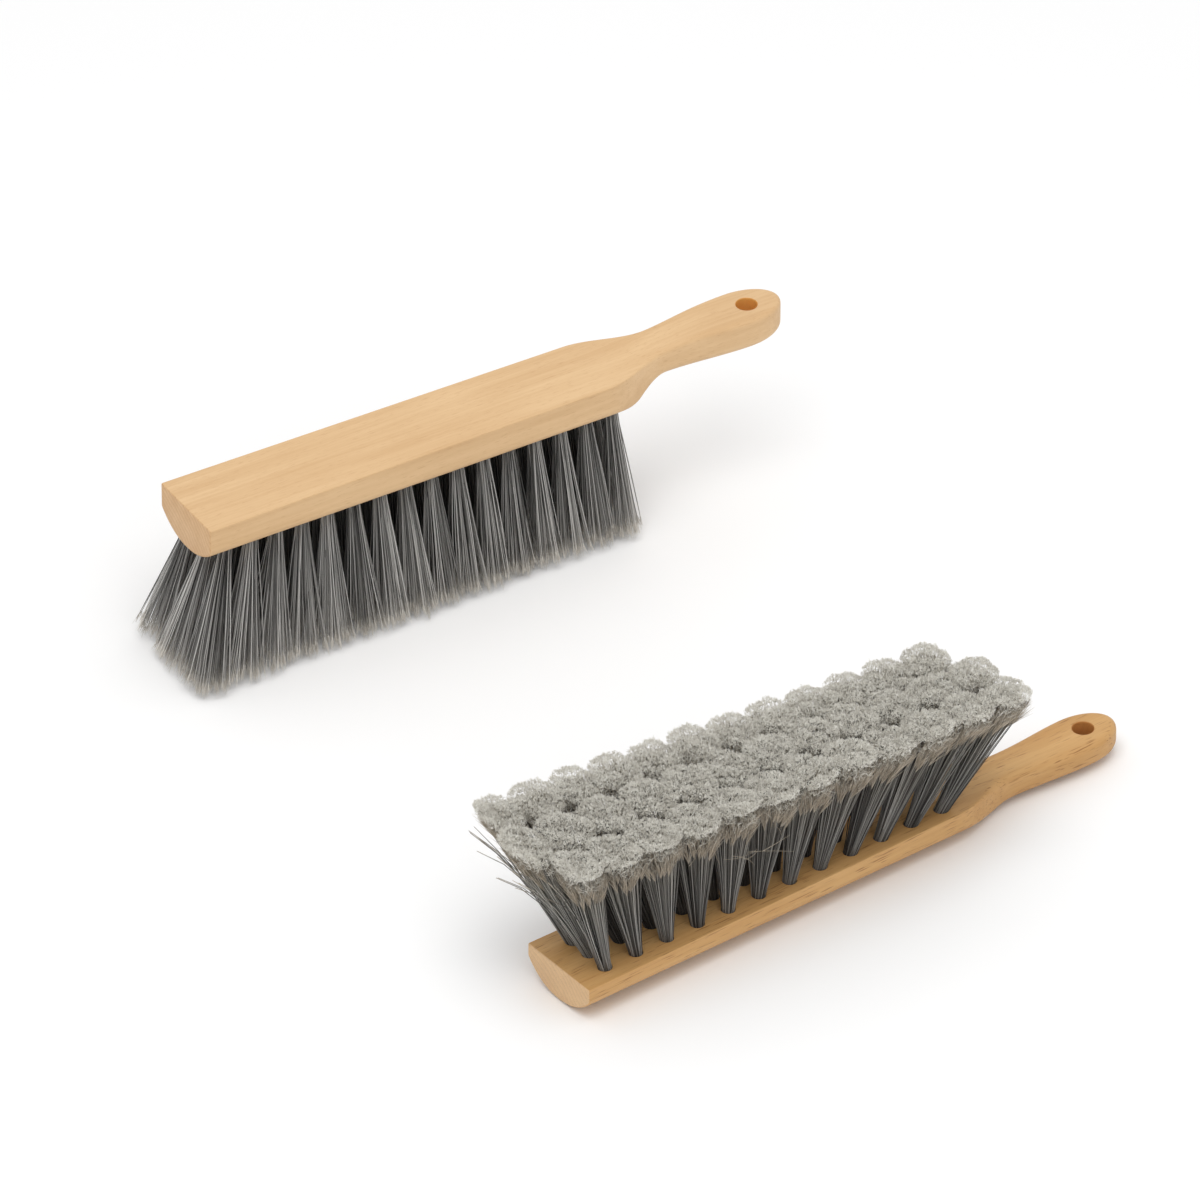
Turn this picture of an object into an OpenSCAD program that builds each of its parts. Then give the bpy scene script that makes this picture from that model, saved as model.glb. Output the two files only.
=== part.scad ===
// Two bench brushes of a sweeping set. The standing brush rests on its bristle tips, the lying
// brush rests on its rounded back with the bristles up. +Z is up and the floor is z = 0.
// In both, the block's flat face is on top and its rounded face is below.

/* [Wood] */
// Length of block and handle together
wood_len = 325; // [318:1:340]
// Length of the block, from the free end to the shoulder
block_len = 222; // [218:1:236]
// Width of the block at the free end
block_w = 46; // [44:1:52]
// Width of the block at the shoulder
shoulder_w = 41; // [40:1:46]
// Width of the handle at its narrow neck
neck_w = 21; // [18:0.5:26]
// Width of the handle at its grip
grip_w = 27; // [24:0.5:34]
// Distance from the free end to the start of the shoulder
shoulder_x = 218; // [212:1:226]
// Distance from the free end to the neck
neck_x = 258; // [250:1:270]
// Distance from the free end to the widest part of the grip
grip_x = 303; // [292:1:306]
// Radius of the block's corners at the free end
corner_r = 1; // [0.5:0.5:6]
// Radius of the hang hole
hang_r = 5.1; // [3:0.1:6]
// Distance from the handle's end to the hang hole
hang_inset = 17.5; // [14:0.5:22]

/* [Standing brush] */
// Height of the flat back above the floor
standing_top = 86; // [80:1:95]
// Depth of the block along its middle
standing_depth = 23.5; // [18:0.5:25]
// Height of the block's side walls
standing_wall = 13.5; // [10:0.5:16]
// Thickness of the grip
standing_grip_t = 17; // [12:0.5:18]
// Rise of the grip above the block's flat face
standing_rise = 4.5; // [0:0.5:8]
// Tufts in each row
standing_count = 16; // [10:1:16]
// First tuft, from the free end
standing_first = 12; // [10:0.5:20]
// Last tuft, from the free end
standing_last = 224; // [200:1:226]
// Lean of the middle row's first tuft towards the free end, in degrees
standing_fan_start = 19; // [0:1:22]
// Lean of the middle row's last tuft towards the handle, in degrees
standing_fan_end = 6; // [0:1:22]
// Radius of a tuft at its tips
standing_tip_r = 6.7; // [4:0.1:6.7]

/* [Lying brush] */
// Depth of the block along its middle, which is also the height of its bristle face
lying_depth = 19; // [18:0.5:22]
// Height of the block's side walls
lying_wall = 7.5; // [6:0.5:10]
// Thickness of the grip
lying_grip_t = 14; // [11:0.5:15]
// Drop of the grip below the bristle face
lying_drop = 2.5; // [0:0.5:4]
// Height of the bristle tips above the floor
lying_top = 86; // [80:1:90]
// Tufts in each row
lying_count = 12; // [8:1:12]
// First tuft, from the free end
lying_first = 16; // [12:0.5:20]
// Last tuft, from the free end
lying_last = 215; // [200:1:218]
// Lean of the middle row's first tuft towards the free end, in degrees
lying_fan_start = 22; // [0:1:24]
// Lean of the middle row's last tuft towards the handle, in degrees
lying_fan_end = 19; // [0:1:24]
// Radius of a tuft at its tips
lying_tip_r = 9.3; // [6:0.1:9.6]
// Position of its free end along X, from the standing brush's free end
lying_x = 11; // [0:1:40]
// Distance between the two brushes' centre lines at the free ends
lying_gap = 318; // [250:1:360]
// Turn of the lying brush about Z, in degrees
lying_turn = 6.3; // [0:0.1:15]

/* [Tufts] */
// Distance of the outer rows from the centre line
row_y = 13; // [12:0.5:14]
// Radius of a tuft where it leaves the wood
root_r = 3.3; // [2.5:0.1:3.5]
// Radius of the hole drilled for each tuft
bore_r = 3.5; // [2.7:0.1:3.7]
// Depth of the hole drilled for each tuft
bore_depth = 9.5; // [7:0.5:10]
// Length of the flat wire anchor across the hole
anchor_len = 8.4; // [7.5:0.1:9]
// Height of the flat wire anchor
anchor_h = 1.8; // [1:0.1:2.5]
// Thickness of the flat wire anchor
anchor_t = 0.45; // [0.3:0.05:0.8]

/* [Hidden] */
$fn = 48;

// The origin is at the centre of the set's footprint. This is the standing brush's free end.
set_x = -159.2;
set_y = 155.9;

// Lean across the brush of the front, middle and rear row's first and last tuft, in degrees
standing_leans = [[-13, -6], [0, 0], [8, 8]];
lying_leans = [[-1, -12], [12, -5], [26, 1]];
// What the front, middle and rear row's first and last tuft add to the middle row's lean along X
standing_fan_extra = [[1, -4], [0, 0], [5, 2]];
lying_fan_extra = [[7, 2], [0, 0], [5, -10]];
// Clearance between a tuft's round base and the wood under it
base_gap = 0.35;
// Clearance of the folded root in its hole
root_gap = 0.1;
// Height of the anchor's middle above the bottom of the hole
anchor_lift = 2.2;
// Turn of each round piece about itself, which keeps its seam off the plane in which it leans
seam_turn = 52;
over = 1;

beech = [0.86, 0.72, 0.54];
bristle_grey = [0.45, 0.44, 0.42];
root_grey = [0.3, 0.3, 0.3];
wire = [0.75, 0.75, 0.72];

function smooth(u) = let (v = min(1, max(0, u))) v * v * (3 - 2 * v);
function between(a, b, u) = a + (b - a) * u;
// Radius of the round underside, from its depth in the middle and at the walls
function crown_r(depth, wall) = (pow(block_w / 2, 2) + pow(depth - wall, 2)) / (2 * (depth - wall));

// Half of the wood's width at a distance x from the free end
function side_half(x) = between(block_w, shoulder_w, x / block_len) / 2;
function corner_half(x) = side_half(x) - corner_r + sqrt(pow(corner_r, 2) - pow(corner_r - x, 2));
function shoulder_half(x) = let (u = (x - shoulder_x) / (neck_x - shoulder_x))
    between(side_half(shoulder_x), neck_w / 2, smooth(u));
function grip_half(x) = between(neck_w, grip_w, smooth((x - neck_x) / (grip_x - neck_x))) / 2;
function end_half(x) = grip_w / 2 * sqrt(max(0, 1 - pow((x - grip_x) / (wood_len - grip_x), 2)));
function half_width(x) = x < corner_r ? corner_half(x)
    : x < shoulder_x ? side_half(x)
    : x < neck_x ? shoulder_half(x)
    : x < grip_x ? grip_half(x)
    : end_half(x);

// Distances from the free end at which the outline bends
function stations() = concat(
    [for (i = [0 : 5]) corner_r * (1 - cos(18 * i))],
    [for (i = [0 : 19]) between(shoulder_x, neck_x, i / 20)],
    [for (i = [0 : 12]) between(neck_x, grip_x, i / 13)],
    [for (i = [0 : 12]) between(grip_x, wood_len, sin(90 * i / 12))]);

// Outline of the wood from above
module outline() {
    xs = stations();
    n = len(xs);
    polygon(concat(
        [for (i = [0 : n - 1]) [xs[i], -half_width(xs[i])]],
        [for (i = [n - 2 : -1 : 0]) [xs[i], half_width(xs[i])]]));
}

// Outline of the wood from the side: z = 0 is the flat face, and the grip is shifted by rise
module side_profile(depth, grip_t, rise) {
    steps = 16;
    flat_x = grip_x - 15;
    top = [for (i = [0 : steps]) let (x = between(block_len, flat_x, i / steps))
        [x, rise * smooth(i / steps)]];
    belly = [for (i = [steps : -1 : 0]) let (x = between(block_len, neck_x, i / steps))
        [x, between(-depth - over, rise - grip_t, smooth(i / steps))]];
    polygon(concat([[-over, 0]], top, [[wood_len + over, rise], [wood_len + over, rise - grip_t]],
        belly, [[-over, -depth - over]]));
}

// Block and handle in one piece of wood, with its flat face at z = top
module wood(top, depth, wall, grip_t, rise) {
    r = crown_r(depth, wall);
    translate([0, 0, top]) difference() {
        intersection() {
            translate([0, 0, -depth - over])
                linear_extrude(depth + abs(rise) + 2 * over) outline();
            rotate([90, 0, 0]) linear_extrude(block_w + 2, center = true)
                side_profile(depth, grip_t, rise);
            translate([-over, 0, r - depth]) rotate([0, 90, 0])
                cylinder(r = r, h = wood_len + 2 * over, $fn = 96);
        }
        translate([wood_len - hang_inset, 0, rise - grip_t - over])
            cylinder(r = hang_r, h = grip_t + 2 * over);
    }
}

// Direction of a tuft that leans by fan along X and by lean along Y, with up = 1 or -1
function tuft_dir(fan, lean, up) = [tan(fan), tan(lean), up];
// Points its children's +Z along d, with their X kept close to the row
module aim(d) rotate(a = sign(d[2]) * acos(abs(d[2]) / norm(d)), v = [-d[1], d[0], 0])
    rotate([d[2] < 0 ? 180 : 0, 0, 0]) children();

// Lean along X of tuft i: none in the middle of the standing brush, even on the lying one
function standing_fan(i, row) = let (u = 2 * i / (standing_count - 1) - 1)
    u < 0 ? (standing_fan_extra[row + 1][0] - standing_fan_start) * u * u
          : (standing_fan_extra[row + 1][1] + standing_fan_end) * u * u;
function lying_fan(i, row) = between(lying_fan_extra[row + 1][0] - lying_fan_start,
    lying_fan_extra[row + 1][1] + lying_fan_end, i / (lying_count - 1));
// Lean along Y of tuft i, changing evenly along its row
function row_lean(ends, i, count) = between(ends[0], ends[1], i / (count - 1));
function standing_at(i) = between(standing_first, standing_last, i / (standing_count - 1));
function lying_at(i) = between(lying_first, lying_last, i / (lying_count - 1));

function standing_dir(i, row) = tuft_dir(standing_fan(i, row),
    row_lean(standing_leans[row + 1], i, standing_count), -1);
function lying_dir(i, row) = tuft_dir(lying_fan(i, row),
    row_lean(lying_leans[row + 1], i, lying_count), 1);

// Bend axis of a row, as [y, z], clear of the wood by the tuft's round base
function standing_axis(row) = let (
    r = crown_r(standing_depth, standing_wall),
    turn = asin(row_y * row / r),
    reach = r + root_r + base_gap)
    [reach * sin(turn), standing_top - standing_depth + r - reach * cos(turn)];
function lying_axis(row) = [row_y * row, lying_depth + root_r + base_gap];

// One free tuft along the direction d: a round base on the bend axis, widening to the tips,
// which are trimmed flat at a height h beyond the axis
module tuft(d, tip_r, h) {
    tilt = acos(abs(d[2]) / norm(d));
    length = h / cos(tilt);
    spare = tip_r * tan(tilt) + over;
    end_r = tip_r + (tip_r - root_r) * spare / length;
    intersection() {
        aim(d) rotate([0, 0, seam_turn]) rotate_extrude() polygon(concat(
            [for (a = [-90 : 30 : 0]) root_r * [cos(a), sin(a)]],
            [[end_r, length + spare], [0, length + spare]]));
        translate([0, 0, sign(d[2]) * (h / 2 - root_r)])
            cube([2 * wood_len, 2 * wood_len, h + 2 * root_r], center = true);
    }
}

// The folded end of a tuft, held in its hole
module root_plug() translate([0, 0, -bore_depth - root_r - base_gap]) rotate([0, 0, seam_turn])
    cylinder(r = bore_r - root_gap, h = bore_depth - root_gap, $fn = 24);

// The hole drilled for a tuft, from its bend axis into the wood
module tuft_bore() translate([0, 0, -bore_depth - root_r - base_gap]) rotate([0, 0, seam_turn])
    cylinder(r = bore_r, h = bore_depth + root_r + base_gap, $fn = 24);

// Flat wire pressed across the hole, over the fold of the tuft
module anchor() translate([0, 0, anchor_lift - bore_depth - root_r - base_gap])
    cube([anchor_len, anchor_t, anchor_h], center = true);

// Places its children at each tuft of a row, pointing along the tuft
module standing_row(row) {
    axis = standing_axis(row);
    for (i = [0 : standing_count - 1]) translate([standing_at(i), axis[0], axis[1]])
        aim(standing_dir(i, row)) children();
}
module lying_row(row) {
    axis = lying_axis(row);
    for (i = [0 : lying_count - 1]) translate([lying_at(i), axis[0], axis[1]])
        aim(lying_dir(i, row)) children();
}

module standing_place() translate([set_x, set_y, 0]) children();
module lying_place() translate([set_x + lying_x, set_y - lying_gap, 0])
    rotate([0, 0, lying_turn]) children();

module standing_block() color(beech) standing_place() difference() {
    wood(standing_top, standing_depth, standing_wall, standing_grip_t, standing_rise);
    for (row = [-1 : 1]) standing_row(row) tuft_bore();
}
module lying_block() color(beech) lying_place() difference() {
    wood(lying_depth, lying_depth, lying_wall, lying_grip_t, -lying_drop);
    for (row = [-1 : 1]) lying_row(row) tuft_bore();
}

module standing_tufts(row) color(bristle_grey) standing_place() {
    axis = standing_axis(row);
    for (i = [0 : standing_count - 1]) translate([standing_at(i), axis[0], axis[1]])
        tuft(standing_dir(i, row), standing_tip_r, axis[1]);
}
module lying_tufts(row) color(bristle_grey) lying_place() {
    axis = lying_axis(row);
    for (i = [0 : lying_count - 1]) translate([lying_at(i), axis[0], axis[1]])
        tuft(lying_dir(i, row), lying_tip_r, lying_top - axis[1]);
}

module standing_roots(row) color(root_grey) standing_place() standing_row(row) root_plug();
module lying_roots(row) color(root_grey) lying_place() lying_row(row) root_plug();
module standing_anchors(row) color(wire) standing_place() standing_row(row) anchor();
module lying_anchors(row) color(wire) lying_place() lying_row(row) anchor();

standing_block();
standing_tufts(-1);  // standing_tufts_front
standing_tufts(0);  // standing_tufts_middle
standing_tufts(1);  // standing_tufts_rear
standing_roots(-1);  // standing_roots_front
standing_roots(0);  // standing_roots_middle
standing_roots(1);  // standing_roots_rear
standing_anchors(-1);  // standing_anchors_front
standing_anchors(0);  // standing_anchors_middle
standing_anchors(1);  // standing_anchors_rear
lying_block();
lying_tufts(-1);  // lying_tufts_front
lying_tufts(0);  // lying_tufts_middle
lying_tufts(1);  // lying_tufts_rear
lying_roots(-1);  // lying_roots_front
lying_roots(0);  // lying_roots_middle
lying_roots(1);  // lying_roots_rear
lying_anchors(-1);  // lying_anchors_front
lying_anchors(0);  // lying_anchors_middle
lying_anchors(1);  // lying_anchors_rear
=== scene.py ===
import math

import bpy
import numpy as np
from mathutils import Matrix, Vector


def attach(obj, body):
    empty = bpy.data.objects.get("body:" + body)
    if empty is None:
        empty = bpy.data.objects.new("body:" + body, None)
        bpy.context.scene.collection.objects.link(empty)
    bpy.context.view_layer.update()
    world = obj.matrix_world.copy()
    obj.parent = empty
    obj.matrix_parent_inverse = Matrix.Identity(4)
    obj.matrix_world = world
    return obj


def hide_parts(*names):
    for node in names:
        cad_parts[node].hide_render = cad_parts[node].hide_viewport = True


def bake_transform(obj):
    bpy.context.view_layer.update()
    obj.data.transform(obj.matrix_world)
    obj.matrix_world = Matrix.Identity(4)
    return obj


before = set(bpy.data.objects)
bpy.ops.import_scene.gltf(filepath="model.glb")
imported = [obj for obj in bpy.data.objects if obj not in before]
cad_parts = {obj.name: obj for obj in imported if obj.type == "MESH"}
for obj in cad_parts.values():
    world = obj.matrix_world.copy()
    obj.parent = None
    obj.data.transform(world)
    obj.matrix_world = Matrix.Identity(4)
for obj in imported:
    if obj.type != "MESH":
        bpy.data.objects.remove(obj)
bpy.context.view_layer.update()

MM = 0.001

# ---------------------------------------------------------------- sizes, in millimetres
WOOD_LEN = 325.0
BLOCK_LEN = 222.0
BLOCK_W = 46.0
SHOULDER_W = 41.0
NECK_W = 21.0
GRIP_W = 27.0
SHOULDER_X = 218.0
NECK_X = 258.0
GRIP_X = 303.0
CORNER_R = 1.0
HANG_R = 5.1
HANG_INSET = 17.5
# The grip's rise ends this far before its widest part
FLAT_RUN = 15.0
# Rounding between the block's underside and the grip's, and of the grip's lower edge
CROWN_BLEND = 3.0
GRIP_UNDER_EDGE = 5.0
ROW_Y = 13.0
ROOT_R = 3.3
BORE_R = 3.5
BORE_DEPTH = 9.5
BASE_GAP = 0.35
# A tuft's bend axis is this far out of the wood
AXIS_LIFT = ROOT_R + BASE_GAP
SIDE_NAMES = {-1: "front", 0: "middle", 1: "rear"}

# Where each brush lies (its free end on the floor plane, and its turn about Z), the heights of its
# wood, the rounding of the block's and the grip's upper edges and of the block's lower edges, the
# strength and fineness of its pore flecks, and how much its sawn end takes the end colour
STANDING = dict(
    name="standing", at=(-159.2, 155.9), turn=0.0, top=86.0, depth=23.5, wall=13.5,
    grip_t=17.0, rise=4.5, edge=0.5, grip_edge=2.4, under_edge=1.6,
    fleck=0.3, pores=(200, 2200, 2200), end_shade=0.16)
LYING = dict(
    name="lying", at=(-148.2, -162.1), turn=math.radians(6.3), top=19.0, depth=19.0, wall=7.5,
    grip_t=14.0, rise=-2.5, edge=0.7, grip_edge=4.2, under_edge=1.6,
    fleck=0.75, pores=(95, 1500, 1500), end_shade=0.4)


def smooth(u):
    u = np.clip(u, 0, 1)
    return u * u * (3 - 2 * u)


def to_row(points, brush):
    """Points of a brush, in millimetres from its free end, as metres in the row frame."""
    c, s = math.cos(brush["turn"]), math.sin(brush["turn"])
    p = np.asarray(points, float)
    out = np.empty_like(p)
    out[..., 0] = brush["at"][0] + c * p[..., 0] - s * p[..., 1]
    out[..., 1] = brush["at"][1] + s * p[..., 0] + c * p[..., 1]
    out[..., 2] = p[..., 2]
    return out * MM


def link(name, mesh):
    obj = bpy.data.objects.new(name, mesh)
    bpy.context.scene.collection.objects.link(obj)
    return obj


# ---------------------------------------------------------------- wood
def crown_radius(brush):
    """Radius of the round underside, from its depth in the middle and at the walls."""
    over_wall = brush["depth"] - brush["wall"]
    return ((BLOCK_W / 2) ** 2 + over_wall ** 2) / (2 * over_wall)


def grip_rise(x, brush):
    """Height of the upper face over the block's flat face."""
    return brush["rise"] * smooth((x - BLOCK_LEN) / (GRIP_X - FLAT_RUN - BLOCK_LEN))


def belly_height(x, brush):
    """Height of the lower face where the block's underside runs into the grip's."""
    start = -brush["depth"] - 1
    end = brush["rise"] - brush["grip_t"]
    return start + (end - start) * smooth((x - BLOCK_LEN) / (NECK_X - BLOCK_LEN))


def side_half(x):
    return (BLOCK_W + (SHOULDER_W - BLOCK_W) * x / BLOCK_LEN) / 2


def half_width(x):
    """Half of the wood's width, for x up to the widest part of the grip."""
    u = smooth((x - SHOULDER_X) / (NECK_X - SHOULDER_X))
    shoulder = side_half(SHOULDER_X) + (NECK_W / 2 - side_half(SHOULDER_X)) * u
    grip = (NECK_W + (GRIP_W - NECK_W) * smooth((x - NECK_X) / (GRIP_X - NECK_X))) / 2
    return np.where(x < SHOULDER_X, side_half(x), np.where(x < NECK_X, shoulder, grip))


def round_meet(a, b, r):
    """Distance to the part inside both a and b, with the edge between them rounded."""
    outside = np.hypot(np.maximum(a + r, 0), np.maximum(b + r, 0))
    return np.minimum(-r, np.maximum(a, b)) + outside


def wood_field(x, y, z, brush):
    """Below 0 inside the wood, whose flat face is at z = 0."""
    step = 0.05
    slope = (half_width(x + step) - half_width(x - step)) / (2 * step)
    side = (np.abs(y) - half_width(x)) / np.sqrt(1 + np.minimum(slope, 3) ** 2)
    side = round_meet(-x, side, CORNER_R)
    a, b = WOOD_LEN - GRIP_X, GRIP_W / 2
    dx = np.maximum(x - GRIP_X, 0)
    q = np.sqrt((dx / a) ** 2 + (y / b) ** 2)
    gradient = np.sqrt((dx / a ** 2) ** 2 + (y / b ** 2) ** 2) / np.maximum(q, 1e-6)
    end = (q - 1) / np.maximum(gradient, 0.5 / a)
    side = np.where(x > GRIP_X, end, side)

    top = z - grip_rise(x, brush)
    belly = belly_height(x, brush) - z
    r = crown_radius(brush)
    crown = np.hypot(y, z - (r - brush["depth"])) - r
    under = round_meet(crown, belly, CROWN_BLEND)

    on_grip = smooth((x - BLOCK_LEN - 4) / 30)
    upper = brush["edge"] + (brush["grip_edge"] - brush["edge"]) * on_grip
    lower = brush["under_edge"] + (GRIP_UNDER_EDGE - brush["under_edge"]) * on_grip
    return round_meet(round_meet(top, side, upper), under, lower)


def ring(x, brush, count):
    """Points round the wood at x, as rays from a middle point to the surface."""
    depth = brush["depth"]
    rise = float(grip_rise(x, brush))
    bottom = max(-depth, float(belly_height(x, brush)))
    mid = (rise + bottom) / 2
    half = float(half_width(np.array(min(x, GRIP_X))))
    if x > GRIP_X:
        half *= math.sqrt(max(0.02, 1 - ((x - GRIP_X) / (WOOD_LEN - GRIP_X)) ** 2))
    r = crown_radius(brush)
    arc = (r - depth) - math.sqrt(r * r - half * half)
    low = max(arc, bottom)
    corners = [math.atan2(low - mid, half), math.atan2(rise - mid, half)]
    keys = [corners[0], corners[1], math.pi - corners[1], math.pi - corners[0],
            2 * math.pi + corners[0]]
    # shares of the points on the rear side, the top, the front side and the underside
    shares = [0.16, 0.34, 0.16, 0.34]
    angles = []
    for k, share in enumerate(shares):
        n = int(round(count * share))
        t = np.arange(n) / n
        eased = 0.5 - 0.5 * np.cos(math.pi * t)
        angles.append(keys[k] + (keys[k + 1] - keys[k]) * (0.75 * eased + 0.25 * t))
    a = np.concatenate(angles)
    cy, cz = np.cos(a), np.sin(a)
    beyond, halvings = 60.0, 40
    lo, hi = np.zeros(len(a)), np.full(len(a), beyond)
    for _ in range(halvings):
        m = (lo + hi) / 2
        inside = wood_field(np.full(len(a), x), m * cy, mid + m * cz, brush) < 0
        lo, hi = np.where(inside, m, lo), np.where(inside, hi, m)
    return np.stack([np.full(len(a), x), lo * cy, mid + lo * cz], 1)


def wood_stations():
    """Distances from the free end of the wood's rings, close together where it curves."""
    start = [0.01 + 2.2 * (1 - math.cos(t)) for t in np.linspace(0, math.pi / 2, 14)]
    block = list(np.linspace(4, SHOULDER_X - 3, 42))
    neck = list(np.linspace(SHOULDER_X, GRIP_X, 72))
    tip = WOOD_LEN - GRIP_X
    grip = [GRIP_X + (tip - 0.02) * math.sin(t) for t in np.linspace(0, math.pi / 2, 30)[1:]]
    return start + block + neck + grip


def lathe(profile, axis_at, spin, sides):
    """A closed turned solid: profile is (radius, height) pairs along +Z, in millimetres."""
    t = np.arange(sides) * 2 * math.pi / sides + spin
    rows = [np.stack([r * np.cos(t), r * np.sin(t), np.full(sides, h)], 1) for r, h in profile]
    verts = np.concatenate(rows) + np.asarray(axis_at, float)
    faces = [list(range(sides))[::-1]]
    for k in range(len(profile) - 1):
        for i in range(sides):
            j = (i + 1) % sides
            faces.append([k * sides + i, k * sides + j, (k + 1) * sides + j, (k + 1) * sides + i])
    faces.append([(len(profile) - 1) * sides + i for i in range(sides)])
    return verts, faces


def tilt_matrix(d):
    """Rotation that takes +Z to the direction d."""
    return np.array(Vector((0, 0, 1)).rotation_difference(Vector(d)).to_matrix())


def build_wood(brush, tufts):
    """The wood as one closed mesh, with its hang hole and tuft holes cut out."""
    rings = [ring(x, brush, 100) for x in wood_stations()]
    n = len(rings[0])
    verts = np.concatenate(rings)
    verts[:, 2] += brush["top"]
    faces = [list(range(n))[::-1]]
    for k in range(len(rings) - 1):
        for i in range(n):
            j = (i + 1) % n
            faces.append([k * n + i, k * n + j, (k + 1) * n + j, (k + 1) * n + i])
    faces.append([(len(rings) - 1) * n + i for i in range(n)])
    mesh = bpy.data.meshes.new(brush["name"] + "_wood")
    mesh.from_pydata(to_row(verts, brush).tolist(), [], faces)
    mesh.update()
    wood = link(brush["name"] + "_wood", mesh)

    rim = 0.8
    grip_top = brush["top"] + brush["rise"]
    grip_low = grip_top - brush["grip_t"]
    edge = [math.pi / 2 * k / 5 for k in range(6)]
    low = [(HANG_R + rim * (1 - math.sin(t)), grip_low + rim * (1 - math.cos(t))) for t in edge]
    high = [(r, grip_top + grip_low - h) for r, h in reversed(low)]
    profile = [(HANG_R + rim, grip_low - 2)] + low + high + [(HANG_R + rim, grip_top + 2)]
    verts, faces = lathe(profile, (WOOD_LEN - HANG_INSET, 0, 0), 0.0, 48)
    all_verts, all_faces = [verts], [faces]
    base = len(verts)
    for tuft in tufts:
        v, f = lathe([(BORE_R, -BORE_DEPTH - AXIS_LIFT), (BORE_R, 0.6)], (0, 0, 0), 0.9, 20)
        v = v @ tilt_matrix(tuft["dir"]).T + np.asarray(tuft["at"])
        all_verts.append(v)
        all_faces.append([[i + base for i in face] for face in f])
        base += len(v)
    mesh = bpy.data.meshes.new("cutter")
    mesh.from_pydata(to_row(np.concatenate(all_verts), brush).tolist(), [], sum(all_faces, []))
    mesh.update()
    cutter = link("cutter", mesh)
    cut = wood.modifiers.new("holes", "BOOLEAN")
    cut.operation = "DIFFERENCE"
    cut.solver = "EXACT"
    cut.object = cutter
    bpy.context.view_layer.update()
    graph = bpy.context.evaluated_depsgraph_get()
    finished = bpy.data.meshes.new_from_object(wood.evaluated_get(graph))
    wood.modifiers.clear()
    wood.data = finished
    bpy.data.objects.remove(cutter)
    for p in wood.data.polygons:
        p.use_smooth = True
    wood.data.set_sharp_from_angle(angle=math.radians(32))
    return wood


# ---------------------------------------------------------------- tufts
def unit(v):
    v = np.asarray(v, float)
    return v / np.linalg.norm(v, axis=-1, keepdims=True)


# Each brush's tufts: how many in a row, where the first and last are, which way they point and the
# height of their trimmed tips. fans and leans are the first and last tuft's lean along and across
# the brush in the front, middle and rear row, in degrees, as in the CAD. edges are how far the tips
# reach at the free end, at the handle and at the sides, where there is no neighbour
STANDING_TUFTS = dict(
    count=16, first=12.0, last=224.0, up=-1, tip_z=0.0,
    fans=((-18, 2), (-19, 6), (-14, 8)), leans=((-13, -6), (0, 0), (8, 8)), edges=(7.5, 7.5, 9.0))
LYING_TUFTS = dict(
    count=12, first=16.0, last=215.0, up=1, tip_z=86.0,
    fans=((-15, 21), (-22, 19), (-17, 9)), leans=((-1, -12), (12, -5), (26, 1)),
    edges=(6.0, 10.0, 11.0))


def tuft_list(brush, spec):
    """Each tuft's place, direction and row, from the same rules as the CAD, and how far its tips
    reach towards its neighbours' on each side."""
    crown = crown_radius(brush)
    count, up = spec["count"], spec["up"]
    tufts = {}
    for row in (-1, 0, 1):
        fan_ends, lean_ends = spec["fans"][row + 1], spec["leans"][row + 1]
        for i in range(count):
            t = i / (count - 1)
            x = spec["first"] + (spec["last"] - spec["first"]) * t
            lean = lean_ends[0] + (lean_ends[1] - lean_ends[0]) * t
            if up < 0:
                turn = math.asin(ROW_Y * row / crown)
                reach = crown + AXIS_LIFT
                y = reach * math.sin(turn)
                z = brush["top"] - brush["depth"] + crown - reach * math.cos(turn)
                u = 2 * t - 1
                fan = (-fan_ends[0] if u < 0 else fan_ends[1]) * u * abs(u)
            else:
                y, z = ROW_Y * row, brush["depth"] + AXIS_LIFT
                fan = fan_ends[0] + (fan_ends[1] - fan_ends[0]) * t
            d = unit([math.tan(math.radians(fan)), math.tan(math.radians(lean)), up])
            at = np.array([x, y, z])
            tip = at + d * abs((spec["tip_z"] - z) / d[2])
            tufts[row, i] = {"at": at, "dir": d, "row": row, "i": i, "count": count, "tip": tip}

    def half(tuft, key, axis, edge):
        other = tufts.get(key)
        return edge if other is None else abs(other["tip"][axis] - tuft["tip"][axis]) / 2

    first_edge, last_edge, edge_y = spec["edges"]
    for (row, i), tuft in tufts.items():
        tuft["reach_x"] = (
            half(tuft, (row, i - 1), 0, first_edge), half(tuft, (row, i + 1), 0, last_edge))
        tuft["reach_y"] = (
            half(tuft, (row - 1, i), 1, edge_y), half(tuft, (row + 1, i), 1, edge_y))
    return [tufts[key] for key in sorted(tufts)]


def disc(rng, n):
    """n even but irregular points in a unit disc."""
    k = np.arange(n) + 0.5
    r = np.sqrt(k / n)
    t = k * 2.399963 + rng.uniform(0, 6.28)
    p = np.stack([r * np.cos(t), r * np.sin(t)], 1)
    return p + rng.normal(0, 0.35 / math.sqrt(n), (n, 2))


def squarish(p, power):
    """Pushes a disc's points out towards a rounded square."""
    r = np.maximum(np.hypot(p[:, 0], p[:, 1]), 1e-6)
    c, s = np.abs(p[:, 0] / r), np.abs(p[:, 1] / r)
    k = (c ** power + s ** power) ** (-1 / power)
    return p * k[:, None]


# The tone and the place along each hair are on this map
UV_MAP = "OFBake"
# The map is a row of this many upright strips, each one tone
TONE_BANDS = 32


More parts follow.
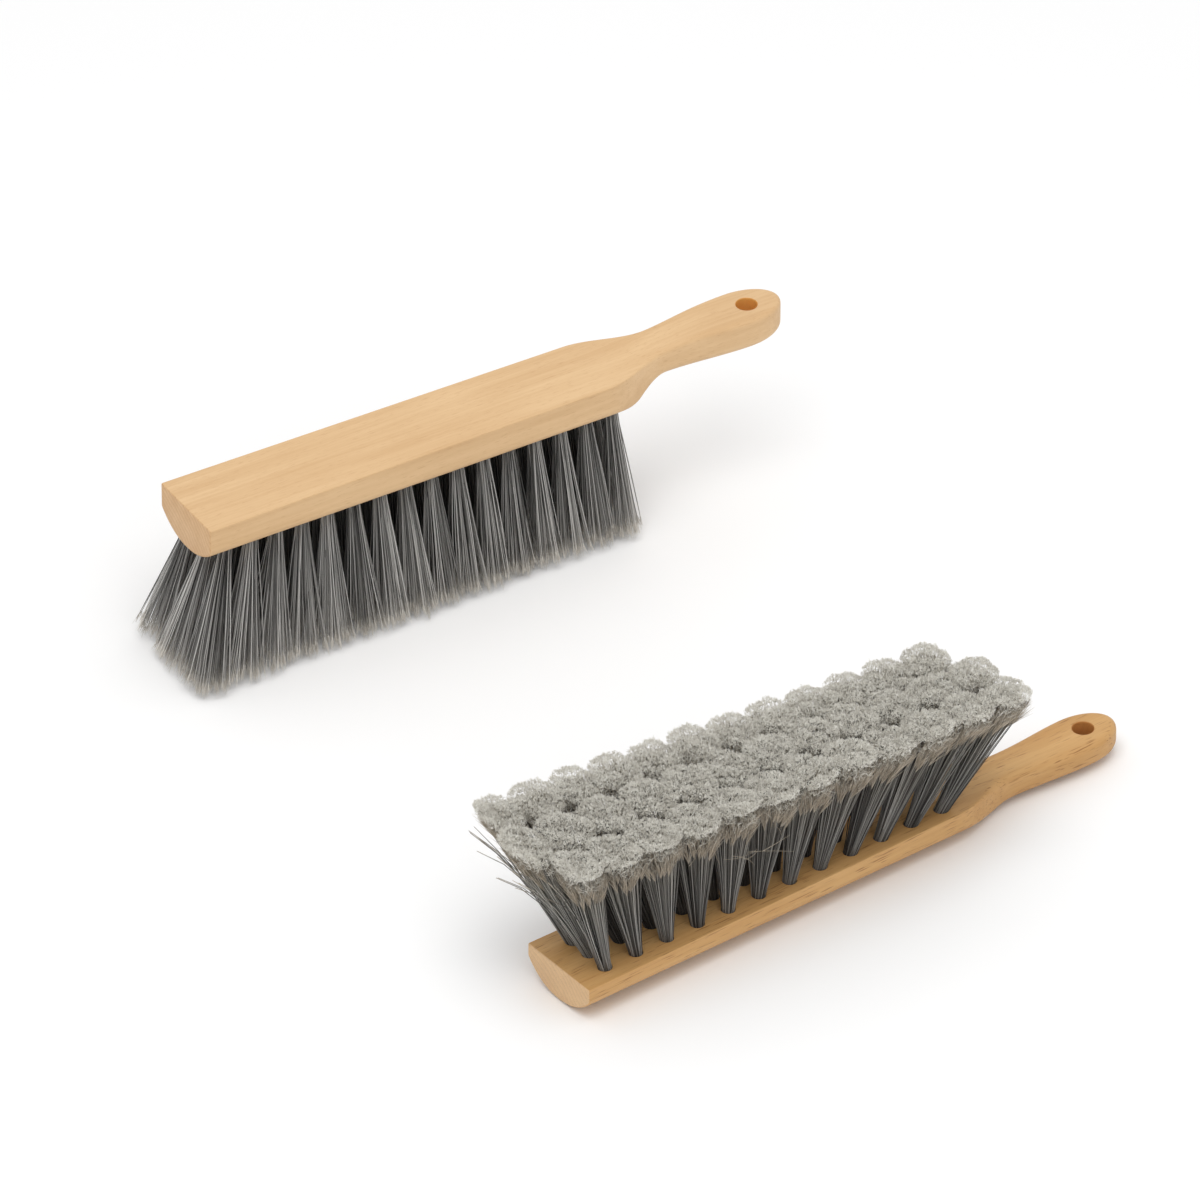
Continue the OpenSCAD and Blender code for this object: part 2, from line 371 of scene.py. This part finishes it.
class Tubes:
    """Collects three-sided hairs with a tone and a place along the hair on a UV map."""

    def __init__(self):
        self.verts, self.faces, self.uvs, self.base = [], [], [], 0

    def add(self, paths, radii, tones, along):
        """paths n x m x 3, radii and along n x m, tones n."""
        n, m = paths.shape[:2]
        t = np.empty_like(paths)
        t[:, 1:-1] = paths[:, 2:] - paths[:, :-2]
        t[:, 0] = paths[:, 1] - paths[:, 0]
        t[:, -1] = paths[:, -1] - paths[:, -2]
        t = unit(t)
        mean = unit(paths[:, -1] - paths[:, 0])
        ref = np.where(np.abs(mean[:, :1]) > 0.8, [[0.0, 1.0, 0.0]], [[1.0, 0.0, 0.0]])
        a = ref[:, None, :] - (ref[:, None, :] * t).sum(-1, keepdims=True) * t
        a = unit(a)
        b = np.cross(t, a)
        k = np.arange(3) * 2 * math.pi / 3
        ring_dir = a[:, :, None, :] * np.cos(k)[:, None] + b[:, :, None, :] * np.sin(k)[:, None]
        verts = paths[:, :, None, :] + ring_dir * radii[:, :, None, None]
        self.verts.append(verts.reshape(-1, 3))
        start = self.base + (np.arange(n) * m * 3)[:, None, None]
        j = np.arange(m - 1)[None, :, None] * 3
        s = np.arange(3)[None, None, :]
        s2 = (s + 1) % 3
        quads = np.stack([start + j + s, start + j + s2, start + j + 3 + s2, start + j + 3 + s], -1)
        self.faces.append(quads.reshape(-1, 4))
        strip = np.floor(np.clip(tones, 0, 0.999) * TONE_BANDS)
        u0 = strip / TONE_BANDS + 0.1 / TONE_BANDS
        u1 = u0 + 0.8 / TONE_BANDS
        shape = (n, m - 1, 3)
        lo = np.broadcast_to(along[:, :-1, None], shape)
        hi = np.broadcast_to(along[:, 1:, None], shape)
        ua = np.broadcast_to(u0[:, None, None], shape)
        ub = np.broadcast_to(u1[:, None, None], shape)
        uv = np.stack([ua, lo, ub, lo, ub, hi, ua, hi], -1)
        self.uvs.append(uv.reshape(-1, 2))
        self.base += n * m * 3

    def mesh(self, name, brush):
        verts = to_row(np.concatenate(self.verts), brush)
        faces = np.concatenate(self.faces)
        uv = np.concatenate(self.uvs)
        mesh = bpy.data.meshes.new(name)
        mesh.vertices.add(len(verts))
        mesh.vertices.foreach_set("co", verts.astype(np.float32).ravel())
        mesh.loops.add(faces.size)
        mesh.loops.foreach_set("vertex_index", faces.astype(np.int32).ravel())
        mesh.polygons.add(len(faces))
        mesh.polygons.foreach_set("loop_start", (np.arange(len(faces)) * 4).astype(np.int32))
        mesh.update(calc_edges=True)
        layer = mesh.uv_layers.new(name=UV_MAP)
        layer.data.foreach_set("uv", uv.astype(np.float32).ravel())
        mesh.polygons.foreach_set("use_smooth", np.ones(len(faces), bool))
        mesh.validate()
        return mesh


def tip_share(tuft, q):
    """Offsets from a tuft's tip, for places q in its share of the tips."""
    low = np.array([tuft["reach_x"][0], tuft["reach_y"][0]])
    high = np.array([tuft["reach_x"][1], tuft["reach_y"][1]])
    return q * np.where(q < 0, low, high)


# Where a hair starts, a little way into its hole, as a share of its length outside the wood
INSIDE_HOLE = -0.055


def hair_paths(rng, tuft, spec, p):
    """Centre lines of a tuft's hairs for unit disc points p, in brush millimetres, with the
    places along them (0 where they leave the wood, 1 at full length) and in the tuft's share."""
    n = len(p)
    at, d = np.asarray(tuft["at"], float), tuft["dir"]
    up = np.sign(d[2])
    e1 = unit(np.array([1.0, 0, 0]) - d[0] * d)
    e2 = np.cross(d, e1) * up
    reach = abs(spec["tip_z"] - at[2]) / abs(d[2])
    rho = np.minimum(np.hypot(p[:, 0], p[:, 1]), 1.05)
    root = (p[:, :1] * e1 + p[:, 1:] * e2) * (ROOT_R * 0.95)
    q = squarish(p, spec["square"])
    tip = np.zeros((n, 3))
    tip[:, :2] = tip_share(tuft, q) * spec["fill"]
    tip[:, :2] += rng.normal(0, spec["stray"], (n, 2))
    clumps = disc(rng, spec["clumps"])
    nearest = ((p[:, None] - clumps[None]) ** 2).sum(-1).argmin(1)
    pull = (clumps[nearest] - p) * spec["gather"]
    tip[:, 0] += pull[:, 0] * tuft["reach_x"][1]
    tip[:, 1] += pull[:, 1] * tuft["reach_y"][1]
    lift = rng.normal(0, spec["lumpy"], spec["clumps"])[nearest]
    short = spec["dome"] * rho ** 2.2 + np.abs(rng.normal(0, spec["uneven"], n)) + lift
    tip[:, 2] = -up * short
    s = np.array([INSIDE_HOLE] + spec["stations"])
    g = np.clip(s, 0, 1) ** spec["flare"]
    h = -AXIS_LIFT + (reach + AXIS_LIFT) * s
    line = at + d * h[:, None]
    paths = line[None] + root[:, None] * (1 - g)[None, :, None] + tip[:, None] * g[None, :, None]
    bow = rng.normal(0, spec["bow"], (n, 3)) * [1, 1, 0]
    paths = paths + bow[:, None] * (np.sin(np.clip(s, 0, 1) * math.pi))[None, :, None]
    return paths, s, q


def whisker_ends(rng, ends, heads, count, length, spread, width, curl, bias=None, rings=3):
    """Short split ends: count for each hair end, as n*count x rings x 3 paths."""
    n = len(ends) * count
    e = np.repeat(ends, count, 0)
    d = np.repeat(heads, count, 0)
    side = unit(rng.normal(0, 1, (n, 3)))
    amount = rng.uniform(0, 1, (n, 1)) ** 0.7 * spread
    out = unit(d + side * amount + (0 if bias is None else np.repeat(bias, count, 0)))
    size = length * rng.uniform(0.65, 1.25, (n, 1))
    bend = unit(rng.normal(0, 1, (n, 3))) * curl * size
    t = np.linspace(0, 1, rings)
    paths = (e - d * 0.15)[:, None] + (out * size)[:, None] * t[:, None]
    paths = paths + bend[:, None] * (t ** 2)[:, None]
    radii = np.tile(width * (1 - 0.75 * t ** 1.5), (n, 1))
    return paths, radii


# How each brush's hairs grow. tip_z is the height of full length, fill and square the size and
# shape of the area a tuft's tips cover, stray the spread of single hairs, clumps and gather how they
# draw together, dome, lumpy and uneven how much shorter they are at a tuft's edge, clump by clump and
# one by one, and flare and bow how they curve. radius is their thickness, with a taper at the
# stations along them, and map_top how far up the map they go
STANDING_HAIR = dict(
    hairs=104, tip_z=2.0, fill=1.2, square=2.8, stray=0.75, dome=0.8, uneven=0.6, clumps=8,
    gather=0.34, lumpy=0.5, flare=1.1, bow=0.45, radius=0.3,
    stations=[0.0, 0.07, 0.15, 0.24, 0.36, 0.54, 0.76, 0.9],
    taper=[1, 1, 1, 1, 1, 1, 0.95, 0.85, 0.6], map_top=0.92)
LYING_HAIR = dict(
    hairs=150, tip_z=83.6, fill=1.1, square=2.4, stray=0.4, dome=2.2, uneven=0.3, clumps=10,
    gather=0.2, lumpy=0.3, flare=1.15, bow=0.4, radius=0.28,
    stations=[0.0, 0.07, 0.15, 0.24, 0.36, 0.54, 0.76, 0.985],
    taper=[1, 1, 1, 1, 1, 1, 0.95, 0.85, 0.7], map_top=0.88)

# bursts are (count, spread, depth, unevenness, shade), of the florets and of the small bursts
# within them
LYING_FLUFF = dict(
    ends=2700, fill=1.13, seam=1.4, corner=7.0, tuft_lift=0.4, loose=0.5, length=1.4, width=0.14,
    tone=0.76, bursts=((8, 0.3, 1.1, 0.45, 0.05), (300, 0.7, 0.8, 0.35, 0.3)))


def hair_tones(rng, tuft, n):
    """Hair tones from dark at 0 to light at 1. The middle row's inner tufts are darkened to a
    quarter: painted shade inside the brush.
    """
    tone = np.clip(rng.beta(0.9, 1.1, n) + rng.normal(0, 0.05), 0, 1)
    in_painted_shade = tuft["row"] == 0 and 0 < tuft["i"] < tuft["count"] - 1
    # inner tufts of the middle row take a quarter of the tone: painted shade
    return tone * (0.25 if in_painted_shade else 1.0)


def add_hairs(tubes, rng, spec, paths, s, tone):
    """Hairs along the centre lines, uneven in thickness."""
    n = len(paths)
    thick = spec["radius"] * rng.uniform(0.75, 1.2, n)
    along = np.tile(np.clip(s, 0.0, 1) * spec["map_top"] + 0.02, (n, 1))
    tubes.add(paths, thick[:, None] * np.array(spec["taper"]), tone, along)


def grow_standing(tuft, tubes, rng):
    """A standing tuft, with fine split ends on each hair."""
    spec = STANDING_HAIR
    at_end = tuft["i"] in (0, tuft["count"] - 1)
    n = int(spec["hairs"] * (1.4 if at_end else 1.0))
    p = disc(rng, n)
    paths, s, _ = hair_paths(rng, tuft, spec, p)
    tone = hair_tones(rng, tuft, n)
    add_hairs(tubes, rng, spec, paths, s, tone)
    heads = unit(paths[:, -1] - paths[:, -2])
    count = 6
    tips, radii = whisker_ends(rng, paths[:, -1], heads, count, 6.0, 0.26, 0.13, 0.1)
    tip_tone = np.clip(np.repeat(tone, count) + rng.normal(0, 0.1, n * count), 0, 1)
    tubes.add(tips, radii, tip_tone, np.tile([0.88, 0.94, 0.99], (n * count, 1)))


def grow_fluff(tuft, tubes, rng):
    """The felted top of a lying tuft: small florets, each made of bursts of split ends."""
    spec = LYING_FLUFF
    n = spec["ends"]
    p = disc(rng, n)
    q = squarish(p, LYING_HAIR["square"])
    lift = np.full(n, rng.normal(0, spec["tuft_lift"]))
    tone = rng.normal(spec["tone"], 0.1, n)
    out = np.zeros((n, 3))
    out[:, :2] = q * np.hypot(p[:, 0], p[:, 1])[:, None] ** 2 * 0.5
    out[:, 2] = 1.0
    # small bursts within florets
    for count, spread, depth, uneven, shade in spec["bursts"]:
        centres = disc(rng, count)
        apart = p[:, None] - centres[None]
        nearest = (apart ** 2).sum(-1).argmin(1)
        burst = apart[np.arange(n), nearest] * math.sqrt(count)
        crevice = np.clip(np.hypot(burst[:, 0], burst[:, 1]), 0, 1) ** 2
        out[:, :2] += burst * spread
        lift += rng.normal(0, uneven, count)[nearest] - depth * crevice
        # the tone also darkens towards each burst's crevice: painted shade
        tone += rng.normal(0, shade, count)[nearest] - 0.25 * crevice
    # the top sinks a little at the seams between tufts and more where four of them meet
    along, across = np.abs(q[:, 0]), np.abs(q[:, 1])
    inner = np.where(q[:, 1] * tuft["row"] > 0, 0.25, 1.0)
    sink = spec["seam"] * (along ** 6 + inner * across ** 6)
    sink += spec["corner"] * inner * (along * across) ** 3
    offset = np.zeros((n, 3))
    offset[:, :2] = tip_share(tuft, q) * spec["fill"]
    offset[:, 2] = lift - sink
    out = unit(out + rng.normal(0, spec["loose"], (n, 3)))
    size = spec["length"] * rng.uniform(0.7, 1.3, (n, 1, 1))
    surface = np.asarray(tuft["tip"], float) + offset
    paths = surface[:, None] + out[:, None] * size * np.array([-1.0, 0.0])[None, :, None]
    radii = np.tile([spec["width"], spec["width"] * 0.4], (n, 1))
    tubes.add(paths, radii, np.clip(tone, 0, 1), np.tile([0.962, 0.985], (n, 1)))


def grow_lying(tuft, tubes, rng):
    """A lying tuft, with split ends under its felted top and long wisps on its outer sides."""
    spec = LYING_HAIR
    n = spec["hairs"]
    p = disc(rng, n)
    last = tuft["count"] - 1
    paths, s, q = hair_paths(rng, tuft, spec, p)
    # some hairs at the free end have worked loose
    loose = (q[:, 0] < -0.6) & (rng.uniform(0, 1, n) < 0.3) & (tuft["i"] == 0)
    if loose.any():
        drift = (loose * rng.uniform(3, 11, n))[:, None] * np.clip(s, 0, 1) ** 3
        paths[:, :, 0] -= drift
        paths[:, :, 2] -= drift * 0.9
    tone = hair_tones(rng, tuft, n)
    add_hairs(tubes, rng, spec, paths, s, tone)
    heads = unit(paths[:, -1] - paths[:, -2])
    count = 7
    kept = ~loose
    m = int(kept.sum())
    below = heads[kept] * rng.uniform(0.5, 4.5, (m, 1))
    tips, radii = whisker_ends(
        rng, paths[kept][:, -1] - below, heads[kept], count, 2.8, 1.9, 0.17, 0.3, rings=2)
    # the split ends under the felted top take a dark tone and a low place on the map: painted shade
    # beneath the top
    tip_tone = np.clip(rng.normal(0.35, 0.2, m * count), 0, 1)
    tubes.add(tips, radii, tip_tone, np.tile([0.955, 0.97], (m * count, 1)))
    grow_fluff(tuft, tubes, rng)
    # the outermost hairs split lower down, into long soft wisps
    outside = q[:, 1] * tuft["row"] > 0.35
    outside |= (tuft["i"] == 0) & (q[:, 0] < -0.35)
    outside |= (tuft["i"] == last) & (q[:, 0] > 0.35)
    outside &= ~loose
    if outside.any():
        m = int(outside.sum())
        below = rng.uniform(6, 20, (m, 1))
        lower = paths[outside][:, -1] - heads[outside] * below
        push = np.zeros((m, 3))
        push[:, :2] = unit(q[outside] + 1e-6) * 0.16
        count = 16
        length = np.repeat(below, count, 0) * 0.82
        tips, radii = whisker_ends(
            rng, lower, heads[outside], count, length, 0.24, 0.15, 0.08, push)
        tip_tone = rng.uniform(0.15, 1, m * count)
        tubes.add(tips, radii, tip_tone, np.tile([0.83, 0.92, 0.947], (m * count, 1)))


def grow_strays(tubes, rng):
    """Loose bent hairs that have worked out of the front row's side."""
    starts = [(66, -22.5), (74, -23), (84, -24), (92, -24), (99, -24.5), (107, -25), (113, -25)]
    for x, y in starts:
        for _ in range(2):
            z = rng.uniform(52, 80)
            length = rng.uniform(9, 17)
            yaw = rng.uniform(-0.6, 3.6)
            out = np.array([math.cos(yaw), -0.55, math.sin(yaw) * 0.6])
            t = np.linspace(0, 1, 6)[:, None]
            bend = rng.normal(0, 0.35, 3)
            at = np.array([x + rng.normal(0, 3), y + 1.5, z])
            path = at + out * length * t + bend * length * t ** 2
            radii = np.linspace(0.16, 0.07, 6)[None]
            along = np.full((1, 6), 0.93)
            tubes.add(path[None], radii, rng.uniform(0.2, 1, 1), along)


# ---------------------------------------------------------------- materials
def linear(rgb):
    """An sRGB colour in 0 to 255 as linear RGBA."""
    c = [v / 255 for v in rgb]
    c = [v / 12.92 if v <= 0.04045 else ((v + 0.055) / 1.055) ** 2.4 for v in c]
    return (*c, 1.0)


class Nodes:
    """Small helper that adds shader nodes and links them."""

    def __init__(self, name):
        self.mat = bpy.data.materials.new(name)
        self.mat.use_nodes = True
        self.tree = self.mat.node_tree
        self.tree.nodes.clear()
        self.out = self.tree.nodes.new("ShaderNodeOutputMaterial")
        self.shader = self.tree.nodes.new("ShaderNodeBsdfPrincipled")
        self.tree.links.new(self.shader.outputs[0], self.out.inputs["Surface"])

    def new(self, kind, **settings):
        node = self.tree.nodes.new(kind)
        for key, value in settings.items():
            setattr(node, key, value)
        return node

    def link(self, a, b):
        self.tree.links.new(a, b)

    def ramp(self, source, stops):
        node = self.new("ShaderNodeValToRGB")
        elements = node.color_ramp.elements
        while len(elements) < len(stops):
            elements.new(0.5)
        for element, (place, colour) in zip(elements, stops):
            element.position = place
            element.color = colour
        self.link(source, node.inputs["Fac"])
        return node.outputs["Color"]

    def mix(self, fac, a, b, blend="MIX"):
        node = self.new("ShaderNodeMix", data_type="RGBA", blend_type=blend)
        for value, socket in ((fac, 0), (a, 6), (b, 7)):
            if hasattr(value, "node"):
                self.link(value, node.inputs[socket])
            else:
                node.inputs[socket].default_value = value
        return node.outputs[2]

    def math(self, operation, a, b=0.0, clamp=False):
        node = self.new("ShaderNodeMath", operation=operation, use_clamp=clamp)
        for value, socket in ((a, 0), (b, 1)):
            if hasattr(value, "node"):
                self.link(value, node.inputs[socket])
            else:
                node.inputs[socket].default_value = value
        return node.outputs[0]

    def noise(self, vector, scale, detail=2.0, rough=0.5):
        node = self.new("ShaderNodeTexNoise")
        node.inputs["Scale"].default_value = scale
        node.inputs["Detail"].default_value = detail
        node.inputs["Roughness"].default_value = rough
        self.link(vector, node.inputs["Vector"])
        return node.outputs["Fac"]

    def stretched(self, vector, scale, offset=(0, 0, 0)):
        node = self.new("ShaderNodeMapping")
        node.inputs["Scale"].default_value = scale
        node.inputs["Location"].default_value = offset
        self.link(vector, node.inputs["Vector"])
        return node.outputs[0]


# The growth rings' centre, in millimetres across the brush and below its top, and their spacing
PITH_ACROSS = 45.0
PITH_BELOW = 70.0
RING_SPACING = 2.8


def beech(name, brush, light, dark, fleck, hole, end):
    """Straight-grained beech: soft bands and short dark pore flecks along the wood, growth
    rings on the sawn end, and a deeper colour in the hang hole."""
    n = Nodes(name)
    place = n.new("ShaderNodeTexCoord").outputs["Object"]
    turned = n.new("ShaderNodeMapping", vector_type="TEXTURE")
    turned.inputs["Location"].default_value = (brush["at"][0] * MM, brush["at"][1] * MM, 0)
    turned.inputs["Rotation"].default_value = (0, 0, brush["turn"])
    n.link(place, turned.inputs["Vector"])
    p = turned.outputs[0]
    wide = n.noise(n.stretched(p, (5, 90, 70), (3.1, 0.7, 0)), 1.0, 2.0)
    fine = n.noise(n.stretched(p, (22, 700, 500), (0, 5.3, 2)), 1.0, 2.0)
    cloud = n.noise(p, 22.0, 2.0)
    tone = n.math("ADD", n.math("MULTIPLY", wide, 0.55), n.math("MULTIPLY", fine, 0.28))
    tone = n.math("ADD", tone, n.math("MULTIPLY", cloud, 0.17))
    base = n.ramp(tone, [(0.38, linear(dark)), (0.62, linear(light))])
    pores = n.noise(n.stretched(p, brush["pores"], (0.4, 0, 9)), 1.0, 1.0)
    grouped = n.noise(n.stretched(p, (30, 140, 140), (7, 1, 0)), 1.0, 1.0)
    pores = n.math("ADD", pores, n.math("MULTIPLY", grouped, 0.16))
    amount = n.ramp(pores, [(0.68, (0, 0, 0, 1)), (0.84, (1, 1, 1, 1))])
    amount = n.math("MULTIPLY", amount, brush["fleck"])
    colour = n.mix(amount, base, linear(fleck))

    axes = n.new("ShaderNodeSeparateXYZ")
    n.link(p, axes.inputs[0])
    x, y, z = axes.outputs
    height = n.math("SUBTRACT", z, (brush["top"] - PITH_BELOW) * MM)
    across = n.math("SUBTRACT", y, PITH_ACROSS * MM)
    radius = n.math("POWER", n.math("ADD", n.math("MULTIPLY", across, across),
                                    n.math("MULTIPLY", height, height)), 0.5)
    waver = n.math("MULTIPLY", n.noise(p, 90.0, 2.0), 0.004)
    phase = n.math("DIVIDE", n.math("ADD", radius, waver), RING_SPACING * MM)
    phase = n.math("FRACT", phase)
    rings = n.ramp(phase, [(0.0, (0.0, 0, 0, 1)), (0.78, (0.45, 0.45, 0.45, 1)),
                           (0.92, (1, 1, 1, 1)), (1.0, (0.0, 0, 0, 1))])
    at_end = n.math("LESS_THAN", x, 0.0005)
    ring_amount = n.math("MULTIPLY", n.math("MULTIPLY", rings, at_end), 0.5)
    colour = n.mix(ring_amount, colour, linear(fleck))
    colour = n.mix(n.math("MULTIPLY", at_end, brush["end_shade"]), colour, linear(end))

    from_hole = n.math("SUBTRACT", x, (WOOD_LEN - HANG_INSET) * MM)
    off_axis = n.math("POWER", n.math("ADD", n.math("MULTIPLY", from_hole, from_hole),
                                      n.math("MULTIPLY", y, y)), 0.5)
    in_hole = n.math("LESS_THAN", off_axis, (HANG_R + 0.25) * MM)
    colour = n.mix(n.math("MULTIPLY", in_hole, 0.85), colour, linear(hole))
    n.link(colour, n.shader.inputs["Base Color"])
    n.shader.inputs["Roughness"].default_value = 0.5
    n.shader.inputs["Specular IOR Level"].default_value = 0.35
    bump = n.new("ShaderNodeBump")
    bump.inputs["Strength"].default_value = 0.25
    bump.inputs["Distance"].default_value = 0.0003
    n.link(n.math("SUBTRACT", fine, n.math("MULTIPLY", amount, 1.2)), bump.inputs["Height"])
    n.link(bump.outputs[0], n.shader.inputs["Normal"])
    return n.mat


def bristle(name, dark_stops, light_stops, rough):
    """Fibre colour from its tone across the map and its place along the hair. The stops given make it
    darker down towards the root: painted shade deep in the tufts.
    """
    n = Nodes(name)
    uv = n.new("ShaderNodeUVMap", uv_map=UV_MAP)
    split = n.new("ShaderNodeSeparateXYZ")
    n.link(uv.outputs[0], split.inputs[0])
    dark = n.ramp(split.outputs[1], [(a, linear(c)) for a, c in dark_stops])
    light = n.ramp(split.outputs[1], [(a, linear(c)) for a, c in light_stops])
    n.link(n.mix(split.outputs[0], dark, light), n.shader.inputs["Base Color"])
    n.shader.inputs["Roughness"].default_value = rough
    n.shader.inputs["Specular IOR Level"].default_value = 0.4
    return n.mat


def wire_metal():
    """Flat tinned wire with fine lengthwise scratches."""
    n = Nodes("tinned_wire")
    place = n.new("ShaderNodeTexCoord").outputs["Object"]
    scratch = n.noise(n.stretched(place, (400, 3000, 3000)), 1.0, 2.0)
    colour = n.ramp(scratch, [(0.3, linear((176, 178, 180))), (0.7, linear((205, 206, 206)))])
    n.link(colour, n.shader.inputs["Base Color"])
    n.shader.inputs["Metallic"].default_value = 1.0
    n.shader.inputs["Roughness"].default_value = 0.35
    return n.mat


# ---------------------------------------------------------------- the object
WOOD_A = beech(
    "beech_standing", STANDING, (224, 189, 144), (210, 172, 126), (172, 122, 76), (216, 150, 62),
    (172, 122, 76))
WOOD_B = beech(
    "beech_lying", LYING, (208, 165, 109), (192, 146, 90), (138, 92, 50), (190, 128, 66),
    (232, 204, 168))
# Both hair colours darken from the tips down towards the root and below the lying brush's felted top:
# painted shade deep in the tufts
HAIR_A = bristle(
    "bristle_standing",
    [(0.0, (44, 43, 42)), (0.3, (58, 57, 55)), (0.8, (84, 82, 79)), (0.95, (190, 184, 174))],
    [(0.0, (196, 194, 190)), (0.3, (210, 208, 204)), (0.8, (222, 219, 214)),
     (0.95, (242, 237, 228))],
    0.42)
HAIR_B = bristle(
    "bristle_lying",
    [(0.0, (44, 43, 42)), (0.3, (56, 54, 52)), (0.75, (84, 80, 74)), (0.93, (158, 145, 127)),
     (0.96, (222, 218, 208))],
    [(0.0, (170, 168, 164)), (0.3, (188, 186, 181)), (0.75, (200, 195, 185)),
     (0.93, (220, 207, 187)), (0.96, (250, 248, 240))],
    0.5)

# Each row's first tuft gives a point at its bend axis and one this far beyond it
BEND_LENGTH = 24.0
# The lying brush's rows are each made as two pieces, split after this many tufts
HALF_ROW = 6
BRUSH_SEED = 1000
ROW_SEED = 100
STRAY_SEED = 77

brushes = (
    (STANDING, STANDING_TUFTS, WOOD_A, HAIR_A, grow_standing),
    (LYING, LYING_TUFTS, WOOD_B, HAIR_B, grow_lying))
for number, (brush, layout, wood_mat, hair_mat, grow) in enumerate(brushes):
    name = brush["name"]
    tufts = tuft_list(brush, layout)
    wood = build_wood(brush, tufts)
    wood.data.materials.clear()
    wood.data.materials.append(wood_mat)
    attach(wood, name + "_brush")
    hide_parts(name + "_block")

    for row in (-1, 0, 1):
        side = SIDE_NAMES[row]
        mine = [t for t in tufts if t["row"] == row]
        halves = [mine] if name == "standing" else [mine[:HALF_ROW], mine[HALF_ROW:]]
        for part, group in enumerate(halves):
            tubes = Tubes()
            for t in group:
                seed = BRUSH_SEED * number + ROW_SEED * (row + 1) + t["i"]
                grow(t, tubes, np.random.default_rng(seed))
            if name == "lying" and row == -1 and part == 0:
                grow_strays(tubes, np.random.default_rng(STRAY_SEED))
            label = f"{name}_bristles_{side}" + ("" if name == "standing" else f"_{'ab'[part]}")
            hair = link(label, tubes.mesh(label, brush))
            hair.data.materials.append(hair_mat)
            at = np.asarray(group[0]["at"], float)
            up = np.sign(group[0]["dir"][2])
            start = to_row(at + [0, 0, -AXIS_LIFT * up], brush)
            end = to_row(at + [0, 0, BEND_LENGTH * up], brush)
            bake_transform(hair)
            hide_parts(f"{name}_tufts_{side}", f"{name}_roots_{side}")

metal = wire_metal()
for node_name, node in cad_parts.items():
    if "_anchors_" in node_name:
        node.data.materials.clear()
        node.data.materials.append(metal)

# ---------------------------------------------------------------- floor, light and camera
FLOOR = 6.0
floor_mesh = bpy.data.meshes.new("floor")
floor_mesh.from_pydata(
    [(-FLOOR, -FLOOR, 0), (FLOOR, -FLOOR, 0), (FLOOR, FLOOR, 0), (-FLOOR, FLOOR, 0)],
    [], [(0, 1, 2, 3)])
floor = link("floor", floor_mesh)
plain = Nodes("pale_floor")
plain.shader.inputs["Base Color"].default_value = (0.95, 0.95, 0.95, 1)
plain.shader.inputs["Roughness"].default_value = 0.9
floor.data.materials.append(plain.mat)

world = bpy.data.worlds.new("studio")
bpy.context.scene.world = world
world.use_nodes = True
sky = world.node_tree.nodes["Background"]
sky.inputs["Color"].default_value = (1, 1, 1, 1)
sky.inputs["Strength"].default_value = 0.79


def area_light(name, place, aim, size, power):
    """A square lamp at a place, turned towards the aim."""
    lamp = bpy.data.lights.new(name, "AREA")
    lamp.shape = "SQUARE"
    lamp.size = size
    lamp.energy = power
    obj = bpy.data.objects.new(name, lamp)
    bpy.context.scene.collection.objects.link(obj)
    obj.location = place
    obj.rotation_mode = "QUATERNION"
    obj.rotation_quaternion = (Vector(aim) - Vector(place)).to_track_quat("-Z", "Y")


area_light("key", (-0.35, -0.5, 2.1), (0, 0, 0.03), 1.6, 20)

# The camera looks from this bearing and height at the target
AZIMUTH = math.radians(-31.24)
ELEVATION = math.radians(35.97)
TARGET = Vector((0.0296, 0.09411, 0.0))
DISTANCE = 8.0
back = Vector((
    math.sin(AZIMUTH) * math.cos(ELEVATION),
    -math.cos(AZIMUTH) * math.cos(ELEVATION),
    math.sin(ELEVATION)))
camera_data = bpy.data.cameras.new("camera")
camera_data.sensor_width = 36.0
camera_data.lens = 508.8
camera_data.clip_start = 0.1
camera_data.clip_end = 30.0
camera = bpy.data.objects.new("camera", camera_data)
bpy.context.scene.collection.objects.link(camera)
camera.location = TARGET + back * DISTANCE
camera.rotation_mode = "QUATERNION"
camera.rotation_quaternion = (-back).to_track_quat("-Z", "Y")
bpy.context.scene.camera = camera
bpy.context.scene.view_settings.view_transform = "Standard"
